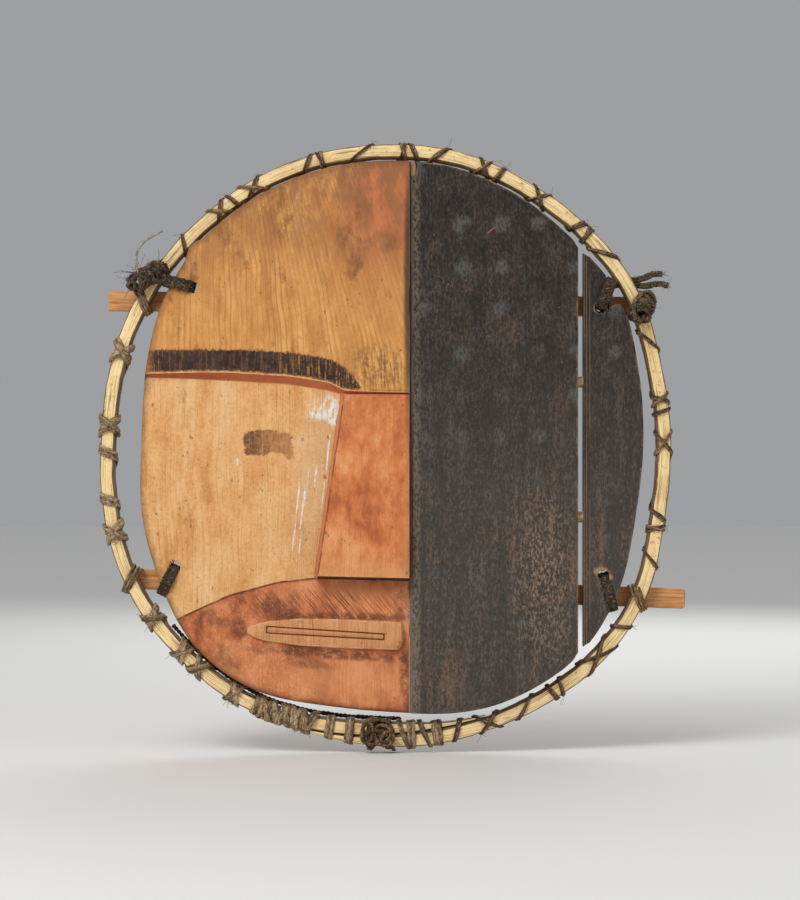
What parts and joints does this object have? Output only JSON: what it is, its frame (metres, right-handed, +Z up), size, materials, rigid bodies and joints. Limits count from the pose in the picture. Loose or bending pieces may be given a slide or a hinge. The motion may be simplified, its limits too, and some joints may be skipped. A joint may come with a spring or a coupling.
{
  "type": "hooped plank mask",
  "caption": "Carved plank mask hung on a wall: a painted half face beside plain dark boards, pegged, tied to cross sticks and ringed by a bent rod hoop with root lashing.",
  "frame": {"origin": "on the back face of the upper cross stick, at the middle of the hoop's width: the point that rests on the wall", "axes": "+X to the right seen from the front, +Y backwards into the wall (the front faces -Y), +Z up as it hangs"},
  "size_m": [0.4708, 0.04, 0.4885],
  "materials": {
    "ochre_board": "carved softwood, rubbed with ochre, worn",
    "dark_board": "matt black paint, worn to the grain",
    "pale_dowel": "bare whittled wood",
    "split_lath": "bare split wood, aged",
    "peeled_rod": "peeled and smoothed, aged cream",
    "root_strip": "dry split root, fibrous",
    "braided_cord": "dark plaited sinew, dry",
    "dry_sinew": "pale stiff sinew"
  },
  "bodies": {
    "root": {"face_board": "ochre_board", "middle_board": "dark_board", "narrow_board": "dark_board", "centre_dowels": "pale_dowel", "outer_dowels": "pale_dowel", "upper_cross_stick": "split_lath", "lower_cross_stick": "split_lath", "hoop": "peeled_rod", "upper_left_lashing": "root_strip", "upper_right_lashing": "root_strip", "right_lashing": "root_strip", "lower_right_lashing": "root_strip", "left_lashing": "root_strip", "lower_left_lashing": "root_strip", "scarf_bands": "root_strip", "scarf_winding": "root_strip", "scarf_knot": "root_strip", "upper_left_tie": "braided_cord", "upper_right_tie": "braided_cord", "lower_left_tie": "braided_cord", "lower_right_tie": "braided_cord", "upper_left_binding": "root_strip", "upper_right_binding": "root_strip", "lower_left_binding": "root_strip", "lower_right_binding": "root_strip", "upper_left_knot": "braided_cord", "upper_right_knot": "braided_cord", "inner_rope": "braided_cord", "upper_left_tail": "dry_sinew"}
  },
  "joints": []
}
